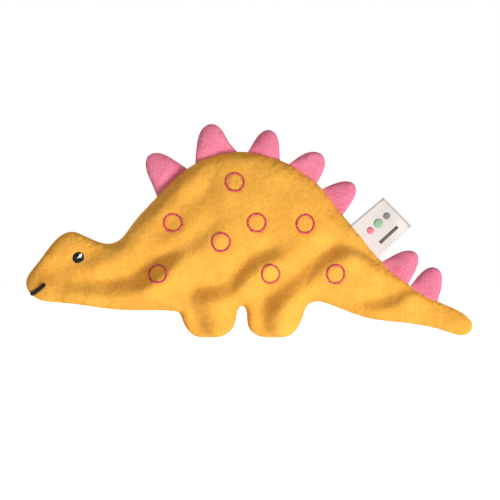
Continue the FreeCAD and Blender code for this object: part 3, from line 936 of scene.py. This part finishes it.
def eye_stitches(flank):
    """A domed eye of upright satin stitches."""
    low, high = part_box("eye_" + flank)
    centre = (low + high) / 2
    half_width = (high.x - low.x) / 2
    half_height = (high.z - low.z) / 2
    trim = 0.6 * MM
    place, normal = on_skin(flank, centre.x, centre.z)
    eye = bmesh.new()
    add_stitch(eye, place, (0, 0, 1), normal, (2 * half_height - trim, 2 * half_width - trim, 1.7 * MM),
               shade=0.1, sides=20, rings=12)
    columns = 13
    for column in range(columns):
        offset = (2 * column + 1) / columns - 1
        reach = half_height * math.sqrt(1 - (0.93 * offset) ** 2)
        place, up = on_skin(flank, centre.x + offset * (half_width - 0.25 * MM), centre.z)
        rise = 0.42 * MM * (1 - offset ** 2)
        add_stitch(eye, place + up * rise, (0.06, 0, 1), up, (2 * reach, 0.78 * MM, 1.1 * MM),
                   shade=0.15 + 0.6 * (column % 2), rings=10)
    return eye


def glint_stitches(flank):
    """Three upright stitches on the eye and a slanted one beside them."""
    low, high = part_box("eye_glint_" + flank)
    centre = (low + high) / 2
    height = high.z - low.z
    glint = bmesh.new()
    for shift, drop, tall in ((-0.75, -0.25, 0.7), (-0.1, 0.0, 0.9), (0.5, 0.05, 0.82)):
        place, up = on_skin(flank, centre.x + shift * MM, centre.z)
        add_stitch(glint, place + up * 0.95 * MM + Vector((0, 0, drop * MM)), (0.12, 0, 1), up,
                   (height * tall, 0.8 * MM, 0.9 * MM), shade=0.6, rings=8)
    place, up = on_skin(flank, centre.x - 1.5 * MM, centre.z - 1.3 * MM)
    add_stitch(glint, place + up * 0.9 * MM, (0.8, 0, 0.6), up, (2.2 * MM, 0.7 * MM, 0.8 * MM),
               shade=0.5, rings=8)
    return glint


def mouth_stitches(flank):
    """A thick line of stitches that curves up into a smile."""
    low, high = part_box("mouth_" + flank)
    mouth = bmesh.new()
    count = 8
    for stitch in range(count):
        part = stitch / (count - 1)
        x = low.x + 0.5 * MM + part * (high.x - low.x - 1.0 * MM)
        z = low.z + 0.7 * MM + (high.z - low.z - 1.3 * MM) * part ** 1.35
        place, up = on_skin(flank, x, z)
        add_stitch(mouth, place + up * 0.4 * MM, (1.0, 0, 0.25 + 0.75 * part), up,
                   (2.4 * MM, 2.8 * MM, 1.9 * MM), shade=0.2 + 0.5 * (stitch % 2), sides=10, rings=7)
    return mouth


def make_face():
    """Satin-stitched eyes with a white glint, and a short stitched mouth, on both flanks."""
    black = thread("black_thread", sewn["colours"].black, gloss=0.2)
    white = thread("white_thread", sewn["colours"].white)
    for flank in FLANKS:
        for part, stitches, slot, colour in (("eye", eye_stitches, "black_thread", black),
                                             ("eye_glint", glint_stitches, "white_thread", white),
                                             ("mouth", mouth_stitches, "black_thread", black)):
            node = f"{part}_{flank}"
            piece = dressed(finished(node + "_stitches", stitches(flank)), slot, colour)
            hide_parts(node)
            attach(piece, "head")


def make_closing_stitches():
    """Hand stitches over the seam where the tail was stuffed and closed."""
    low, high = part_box("closing_stitches")
    start, end = Vector((low.x, 0, high.z)), Vector((high.x, 0, low.z))
    loop = sewn["loop"]
    out = outward(loop)
    count = 8
    chance = np.random.default_rng(29)
    stitches = bmesh.new()
    for stitch in range(count):
        aim = start.lerp(end, (stitch + 0.5) / count)
        nearest = np.argmin(np.sum((loop - np.array([aim.x, aim.z])) ** 2, axis=1))
        away = Vector((out[nearest][0], 0, out[nearest][1]))
        along = Vector((away.z, 0, -away.x))
        place = Vector((loop[nearest][0], 0, loop[nearest][1])) + away * -0.5 * MM
        lean = along * chance.uniform(0.1, 0.4)
        add_stitch(stitches, place, Vector((0, 1, 0)) + lean, away, (2.1 * MM, 0.6 * MM, 0.8 * MM),
                   shade=chance.uniform(0.2, 0.9), rings=8)
    colour = thread("closing_thread", sewn["colours"].seam_thread)
    piece = dressed(finished("closing_seam_thread", stitches), "yellow_thread", colour)
    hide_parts("closing_stitches")
    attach(piece, "tail")


# ---------------- label
def label_corners():
    """The label's corners in the seam plane: near and far seam ends, then far and near outer ends."""
    points = points_of(frame["nodes"]["label_ribbon"].data)
    _, axis = joint_line("label_flop")
    along_values = points @ np.array(axis)
    out_values = points @ np.array(-across(axis))
    corners = []
    for along_sign, out_sign in ((-1, -1), (1, -1), (1, 1), (-1, 1)):
        corner = points[np.argmax(along_sign * along_values + out_sign * out_values)]
        corners.append(Vector((corner[0], 0, corner[2])))
    return corners


def ribbon_place(corners, across_share, run_share, lift):
    """A point of the folded ribbon: run_share is 0 at the front root, 1 at the fold, 2 at the back root."""
    near_root, far_root, far_fold, near_fold = corners
    out_share = 1 - abs(1 - run_share)
    back = run_share > 1
    root = near_root.lerp(far_root, across_share)
    fold = near_fold.lerp(far_fold, across_share)
    root = root - (fold - root) * ROOT_TUCK
    place = root.lerp(fold, out_share)
    if back:
        place += (far_root - near_root).normalized() * 1.1 * MM * (1 - out_share)
    apart = (0.62 * MM + 0.5 * MM * math.sin(math.pi * out_share)) * min(1.0, (1 - out_share) * 14 + 0.12)
    wave = 0.9 * MM * math.sin(2.6 * across_share + 3.4 * out_share + 0.4)
    wave += 0.5 * MM * math.sin(6.5 * across_share * out_share + 1.0)
    place.y = (apart + lift if back else -apart - lift) + wave * out_share
    return place


def label_size(corners):
    """The ribbon's width, and its length from one tucked end to the fold."""
    return (corners[2] - corners[3]).length, (1 + ROOT_TUCK) * (corners[3] - corners[0]).length


def make_label(sizes):
    """A satin ribbon folded double, with two tack stitches and a plain woven motif."""
    corners = label_corners()
    columns, rows = 22, 54
    cloth = bmesh.new()
    bmesh.ops.create_grid(cloth, x_segments=columns, y_segments=rows, size=1.0)
    uv = cloth.loops.layers.uv.new("weave")
    for face in cloth.faces:
        for corner in face.loops:
            corner[uv].uv = ((corner.vert.co.x + 1) / 2, corner.vert.co.y + 1)
    for vertex in cloth.verts:
        vertex.co = ribbon_place(corners, (vertex.co.x + 1) / 2, vertex.co.y + 1, 0.0)
    bmesh.ops.recalc_face_normals(cloth, faces=list(cloth.faces))
    label = finished("label_cloth", cloth)
    wall = label.modifiers.new("ribbon thickness", "SOLIDIFY")
    wall.thickness = sizes.ribbon
    wall.offset = 0
    dressed(label, "ribbon", satin(sewn["colours"].ribbon))
    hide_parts("label_ribbon")
    bend_flap(label)

    rise = sizes.ribbon / 2
    dots = bmesh.new()
    bar = bmesh.new()
    for mark, (across_share, run_share, radius) in enumerate(DOTS):
        add_mark(dots, corners, across_share, run_share, radius, radius, rise, mark)
    add_mark(bar, corners, 0.77, 0.56, 1.0 * MM, 7.0 * MM, rise, 0)
    colours = sewn["colours"]
    weaves = [woven("dot_pink", colours.dot_pink), woven("dot_green", colours.dot_green),
              woven("dot_grey", colours.dot_grey)]
    dots_piece = dressed(finished("label_dots", dots), "motif_ink", *weaves)
    bar_piece = dressed(finished("label_bar", bar), "motif_ink", woven("bar_grey", colours.bar))
    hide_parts("label_motif")
    for piece in (dots_piece, bar_piece):
        bend_flap(piece)

    tacks = bmesh.new()
    for across_share in (0.06, 0.94):
        for run_share in (0.955, 1.045):
            place = ribbon_place(corners, across_share, run_share, rise)
            up = Vector((0, -1 if run_share < 1 else 1, 0))
            add_stitch(tacks, place, corners[2] - corners[3], up, (1.5 * MM, 0.5 * MM, 0.5 * MM),
                       shade=0.1, rings=6)
    piece = dressed(finished("label_corner_thread", tacks), "white_thread",
                    thread("tack_thread", colours.tack))
    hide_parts("label_tacks")
    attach(piece, "label")


def add_mark(shape, corners, across_share, run_share, half_across, half_along, rise, material):
    """A flat woven mark on the ribbon's front: a round or long patch that follows the ribbon."""
    width, height = label_size(corners)
    made = bmesh.ops.create_circle(shape, cap_ends=True, cap_tris=False, segments=40, radius=1.0)
    face = made["verts"][0].link_faces[0]
    ring = bmesh.ops.inset_individual(shape, faces=[face], thickness=0.5, depth=0.0)
    faces = {face for vertex in made["verts"] for face in vertex.link_faces} | set(ring["faces"])
    lifted = bmesh.ops.extrude_face_region(shape, geom=list(faces | {face}), use_keep_orig=True)
    top = {item for item in lifted["geom"] if isinstance(item, bmesh.types.BMVert)}
    both = {vertex for face in faces | {face} for vertex in face.verts} | top
    for vertex in both:
        round_x, round_y = vertex.co.x, vertex.co.y
        if half_along > 2 * half_across:
            stretch = 1 / max(abs(round_x), abs(round_y), 1e-6) * math.hypot(round_x, round_y)
            round_x, round_y = round_x * stretch, round_y * stretch
        lift = rise + (0.07 * MM if vertex in top else -0.05 * MM)
        vertex.co = ribbon_place(corners, across_share + round_x * half_across / width,
                                 run_share + round_y * half_along / height, lift)
    linked_faces = {face for vertex in both for face in vertex.link_faces}
    for face in linked_faces:
        face.material_index = material
    bmesh.ops.recalc_face_normals(shape, faces=list(linked_faces))


# ---------------- materials
class Recipe:
    """A new material and the few calls that its node tree needs."""

    def __init__(self, name):
        self.material = bpy.data.materials.new(name)
        self.material.use_nodes = True
        self.nodes = self.material.node_tree.nodes
        self.links = self.material.node_tree.links
        self.shader = self.nodes["Principled BSDF"]
        self.place = self.add("ShaderNodeTexCoord").outputs["Object"]

    def add(self, kind, **settings):
        """A node with its settings; a name with a leading capital is an input socket's."""
        node = self.nodes.new(kind)
        for name, value in settings.items():
            if name[0].isupper():
                node.inputs[name.replace("_", " ")].default_value = value
            else:
                setattr(node, name, value)
        return node

    def join(self, output, socket):
        """Links an output to a socket."""
        self.links.new(output, socket)

    def noise(self, size, detail=2.0, roughness=0.5, place=None):
        """Noise with features about size across."""
        node = self.add("ShaderNodeTexNoise", Scale=1 / size, Detail=detail, Roughness=roughness)
        self.join(place or self.place, node.inputs["Vector"])
        return node.outputs["Fac"]

    def waves(self, spacing, direction, distortion=0.0):
        """Parallel ribs at a spacing."""
        node = self.add("ShaderNodeTexWave", bands_direction=direction, Scale=math.pi / spacing / 10,
                        Distortion=distortion, Detail=1.0)
        self.join(self.place, node.inputs["Vector"])
        return node.outputs["Fac"]

    def ranged(self, value, low, high, to_low, to_high):
        """A value carried from one range to another, and held inside it."""
        node = self.add("ShaderNodeMapRange", From_Min=low, From_Max=high, To_Min=to_low, To_Max=to_high)
        self.join(value, node.inputs["Value"])
        return node.outputs["Result"]

    def sums(self, *parts):
        """Weighted sum of values, each part being (value, weight)."""
        total = None
        for value, weight in parts:
            node = self.add("ShaderNodeMath", operation="MULTIPLY_ADD")
            self.join(value, node.inputs[0])
            node.inputs[1].default_value = weight
            node.inputs[2].default_value = 0.0
            if total is not None:
                self.join(total, node.inputs[2])
            total = node.outputs[0]
        return total

    def mixed(self, amount, first, second):
        """Two colours mixed by an amount; each is a fixed colour or an output."""
        node = self.add("ShaderNodeMix", data_type="RGBA")
        self.join(amount, node.inputs["Factor"])
        for socket, value in ((node.inputs[6], first), (node.inputs[7], second)):
            if isinstance(value, bpy.types.NodeSocket):
                self.join(value, socket)
            else:
                socket.default_value = (*value, 1)
        return node.outputs[2]

    def coloured(self, output):
        """The colour of the surface."""
        self.join(output, self.shader.inputs["Base Color"])

    def bumped(self, height, distance, strength=1.0):
        """Relief finer than the mesh."""
        node = self.add("ShaderNodeBump", Distance=distance, Strength=strength)
        self.join(height, node.inputs["Height"])
        self.join(node.outputs["Normal"], self.shader.inputs["Normal"])

    def surface(self, **values):
        """Plain numbers on the shader's own sockets."""
        for name, value in values.items():
            self.shader.inputs[name.replace("_", " ")].default_value = value
        return self.material


def scaled(colour, share=1.0, extra=0.0):
    """A colour made darker or lighter."""
    return tuple(min(1.0, share * value + extra) for value in colour)


def velour(name, light, deep, rib=0.08):
    """Short-pile knitted velour: tufts over fine upright ribs, brushed unevenly; its colour goes to the
    deep one where tufts and ribs are low, as painted shade in the pile, and in broad brushed patches of
    random tone.
    """
    cloth = Recipe(name)
    brushed = cloth.noise(17 * MM, 3.0, 0.6)
    tufts = cloth.noise(0.95 * MM, 3.0, 0.7)
    fibres = cloth.noise(0.4 * MM, 2.0, 0.6)
    ribs = cloth.waves(1.15 * MM, "X", 2.2)
    height = cloth.sums((tufts, 0.55), (fibres, 0.3), (ribs, 1.8 * rib))
    # Painted shade in the pile: the deep colour comes in where tufts, fibres and ribs are low, as in the
    # bump; the brushed share is random tone.
    depth = cloth.sums((tufts, 0.74 - rib), (fibres, 0.3), (ribs, rib), (brushed, 0.35))
    amount = cloth.ranged(depth, 0.46, 0.86, 1.0, 0.0)
    cloth.coloured(cloth.mixed(amount, scaled(light), scaled(deep)))
    cloth.bumped(height, 0.5 * MM, 0.65)
    return cloth.surface(Roughness=0.92, Sheen_Weight=0.12, Sheen_Roughness=0.4,
                         Sheen_Tint=(*light, 1))


def thread(name, colour, gloss=0.5):
    """Twisted embroidery thread: lighter and darker stitches with a soft gloss."""
    strand = Recipe(name)
    shade = strand.add("ShaderNodeAttribute", attribute_name="shade").outputs["Fac"]
    fuzz = strand.noise(0.25 * MM, 2.0)
    amount = strand.ranged(strand.sums((shade, 0.7), (fuzz, 0.5)), 0.15, 0.95, 0.0, 1.0)
    strand.coloured(strand.mixed(amount, scaled(colour, 0.62), scaled(colour, 1.35, 0.004)))
    strand.bumped(strand.sums((fuzz, 1.0)), 0.12 * MM, 0.6)
    return strand.surface(Roughness=0.6, Specular_IOR_Level=gloss)


def satin(colour):
    """Woven satin ribbon: fine lengthways floats, a firm selvedge on both edges."""
    ribbon = Recipe("ribbon")
    weave = ribbon.add("ShaderNodeUVMap", uv_map="weave").outputs["UV"]
    parts = ribbon.add("ShaderNodeSeparateXYZ")
    ribbon.join(weave, parts.inputs["Vector"])
    edge = ribbon.add("ShaderNodeMath", operation="PINGPONG")
    ribbon.join(parts.outputs["X"], edge.inputs[0])
    edge.inputs[1].default_value = 0.5
    selvedge = ribbon.ranged(edge.outputs[0], 0.035, 0.06, 1.0, 0.0)
    floats = ribbon.waves(0.5 * MM, "DIAGONAL", 0.4)
    fuzz = ribbon.noise(0.6 * MM, 2.0)
    clouds = ribbon.noise(9 * MM, 2.0)
    tone = ribbon.ranged(ribbon.sums((clouds, 0.5), (fuzz, 0.35), (floats, 0.15)), 0.25, 0.75, 0.0, 1.0)
    shaded = ribbon.mixed(tone, scaled(colour, 0.86), scaled(colour))
    ribbon.coloured(ribbon.mixed(selvedge, shaded, scaled(colour, 0.78)))
    ribbon.bumped(ribbon.sums((floats, 0.5), (fuzz, 0.5), (selvedge, 0.8)), 0.12 * MM, 0.5)
    return ribbon.surface(Roughness=0.5, Sheen_Weight=0.2)


def woven(name, colour):
    """Coloured weft of the label's motif."""
    weft = Recipe(name)
    floats = weft.waves(0.45 * MM, "DIAGONAL", 0.5)
    fuzz = weft.noise(0.5 * MM, 2.0)
    amount = weft.ranged(weft.sums((floats, 0.5), (fuzz, 0.5)), 0.2, 0.8, 0.0, 1.0)
    weft.coloured(weft.mixed(amount, scaled(colour, 0.75), scaled(colour)))
    weft.bumped(floats, 0.1 * MM, 0.5)
    return weft.surface(Roughness=0.6)


def wadding(colour):
    """Loose polyester fibre."""
    fibre = Recipe("wadding")
    clumps = fibre.noise(4 * MM, 5.0, 0.65)
    hairs = fibre.noise(0.5 * MM, 3.0, 0.7)
    amount = fibre.ranged(fibre.sums((clumps, 0.6), (hairs, 0.4)), 0.3, 0.7, 0.0, 1.0)
    fibre.coloured(fibre.mixed(amount, scaled(colour, 0.8), scaled(colour)))
    fibre.bumped(fibre.sums((clumps, 0.7), (hairs, 0.3)), 1.2 * MM, 0.8)
    return fibre.surface(Roughness=0.95, Sheen_Weight=0.2)


def floor_white():
    """Plain pale studio floor with a faint mottle, bright enough to meet the backdrop without a line."""
    paper = Recipe("studio_floor")
    mottle = paper.noise(60 * MM, 2.0)
    paper.coloured(paper.mixed(mottle, (0.90, 0.90, 0.90), (0.94, 0.94, 0.94)))
    return paper.surface(Roughness=0.9, Emission_Color=(1, 1, 1, 1), Emission_Strength=0.72)


# ---------------- stage
def add_softbox(name, place, aim, size, power, warmth):
    """A square soft light at a place, turned to its aim."""
    lamp = bpy.data.lights.new(name, "AREA")
    lamp.shape = "SQUARE"
    lamp.size = size
    lamp.energy = power
    lamp.color = warmth
    box = placed(name, lamp)
    box.location = place
    box.rotation_mode = "QUATERNION"
    box.rotation_quaternion = (Vector(aim) - Vector(place)).to_track_quat("-Z", "Y")


def make_stage():
    """Floor, backdrop, lights and camera."""
    centre = (CAD_LOW + CAD_HIGH) / 2
    floor = bmesh.new()
    bmesh.ops.create_circle(floor, cap_ends=True, segments=96, radius=1.6)
    bmesh.ops.recalc_face_normals(floor, faces=list(floor.faces))
    for face in floor.faces:
        if face.normal.z < 0:
            face.normal_flip()
    bmesh.ops.translate(floor, verts=list(floor.verts), vec=(0, 0, -0.3 * MM))
    ground = finished("floor", floor, smooth=False)
    ground.data.materials.append(floor_white())
    ground.visible_shadow = False    # the key light shines up from below the floor's level
    ground.visible_diffuse = False    # and the floor's own brightness doesn't wash over the toy

    world = bpy.data.worlds.new("studio")
    bpy.context.scene.world = world
    world.use_nodes = True
    tree = world.node_tree
    backdrop = tree.nodes["Background"]
    rays = tree.nodes.new("ShaderNodeLightPath")
    sky = tree.nodes.new("ShaderNodeMix")
    sky.data_type = "RGBA"
    sky.inputs[6].default_value = AMBIENT
    sky.inputs[7].default_value = (1, 1, 1, 1)
    tree.links.new(rays.outputs["Is Camera Ray"], sky.inputs["Factor"])
    tree.links.new(sky.outputs[2], backdrop.inputs["Color"])

    for name, place, size, power, warmth in LIGHTS:
        add_softbox(name, place, centre, size, power, warmth)

    lens = bpy.data.cameras.new("camera")
    lens.sensor_width = 36.0
    lens.lens = CAMERA_LENS
    lens.clip_start = 0.05
    lens.clip_end = 20.0
    camera = placed("camera", lens)
    camera.location = CAMERA_PLACE
    camera.rotation_euler = (math.radians(90), 0, 0)
    bpy.context.scene.camera = camera
    bpy.context.scene.view_settings.view_transform = "Standard"
    bpy.context.scene.view_settings.look = "None"


# ---------------- add-on
class Step:
    """What every step of the work shares: the sizes and colours that it reads."""
    bl_options = {"REGISTER"}

    def execute(self, context):
        sewn["sizes"] = context.scene.dinosaur_sizes
        sewn["colours"] = context.scene.dinosaur_colours
        self.work(sewn["sizes"])
        return {"FINISHED"}


class DINOSAUR_OT_body(Step, bpy.types.Operator):
    """Sews and stuffs the body's two skins"""
    bl_idname = "dinosaur.body"
    bl_label = "Sew and Stuff Body"

    def work(self, sizes):
        make_body(sizes)
        make_body_filling(sizes)


class DINOSAUR_OT_seam(Step, bpy.types.Operator):
    """Adds the turned-in seam allowances and the line of stitches between the skins"""
    bl_idname = "dinosaur.seam"
    bl_label = "Stitch Seam"

    def work(self, sizes):
        make_seam(sizes)


class DINOSAUR_OT_plates(Step, bpy.types.Operator):
    """Sews the padded plates into the seam along the back"""
    bl_idname = "dinosaur.plates"
    bl_label = "Sew Plates"

    def work(self, sizes):
        fabric = velour("pink_fleece", sewn["colours"].pink, sewn["colours"].pink_pile_shade, rib=0.0)
        stuffing = wadding(sewn["colours"].wadding)
        for number in PLATE_NUMBERS:
            make_plate(number, sizes, fabric, stuffing)


class DINOSAUR_OT_rings(Step, bpy.types.Operator):
    """Embroiders the ring spots on both flanks"""
    bl_idname = "dinosaur.rings"
    bl_label = "Embroider Rings"

    def work(self, sizes):
        make_rings(sizes)


class DINOSAUR_OT_face(Step, bpy.types.Operator):
    """Embroiders the eyes and the mouth on both flanks"""
    bl_idname = "dinosaur.face"
    bl_label = "Embroider Face"

    def work(self, sizes):
        make_face()


class DINOSAUR_OT_closing(Step, bpy.types.Operator):
    """Closes the stuffing opening by hand on the tail"""
    bl_idname = "dinosaur.closing"
    bl_label = "Close Tail Seam"

    def work(self, sizes):
        make_closing_stitches()


class DINOSAUR_OT_label(Step, bpy.types.Operator):
    """Folds the ribbon label and weaves its plain motif"""
    bl_idname = "dinosaur.label"
    bl_label = "Fold Label"

    def work(self, sizes):
        make_label(sizes)


class DINOSAUR_OT_stage(Step, bpy.types.Operator):
    """Sets the floor, the backdrop, the lights and the camera"""
    bl_idname = "dinosaur.stage"
    bl_label = "Set Stage"

    def work(self, sizes):
        make_stage()


STEPS = (DINOSAUR_OT_stage, DINOSAUR_OT_body, DINOSAUR_OT_seam, DINOSAUR_OT_plates, DINOSAUR_OT_rings,
         DINOSAUR_OT_face, DINOSAUR_OT_closing, DINOSAUR_OT_label)


class DINOSAUR_PT_steps(bpy.types.Panel):
    """Lists the steps, the sizes and the colours"""
    bl_idname = "DINOSAUR_PT_steps"
    bl_label = "Stuffed Dinosaur"
    bl_space_type = "VIEW_3D"
    bl_region_type = "UI"
    bl_category = "Soft Toy"

    def draw(self, context):
        for step in STEPS:
            self.layout.operator(step.bl_idname)
        for group in (context.scene.dinosaur_sizes, context.scene.dinosaur_colours):
            box = self.layout.box()
            for name in group.bl_rna.properties.keys():
                if name not in ("rna_type", "name"):
                    box.prop(group, name)


CLASSES = (DinosaurSizes, DinosaurColours, *STEPS, DINOSAUR_PT_steps)


def register():
    for entry in CLASSES:
        bpy.utils.register_class(entry)
    bpy.types.Scene.dinosaur_sizes = PointerProperty(type=DinosaurSizes)
    bpy.types.Scene.dinosaur_colours = PointerProperty(type=DinosaurColours)


def unregister():
    del bpy.types.Scene.dinosaur_colours
    del bpy.types.Scene.dinosaur_sizes
    for entry in reversed(CLASSES):
        bpy.utils.unregister_class(entry)


def main():
    register()
    for step in STEPS:
        getattr(bpy.ops.dinosaur, step.bl_idname.split(".")[1])()


if __name__ == "__main__":
    main()
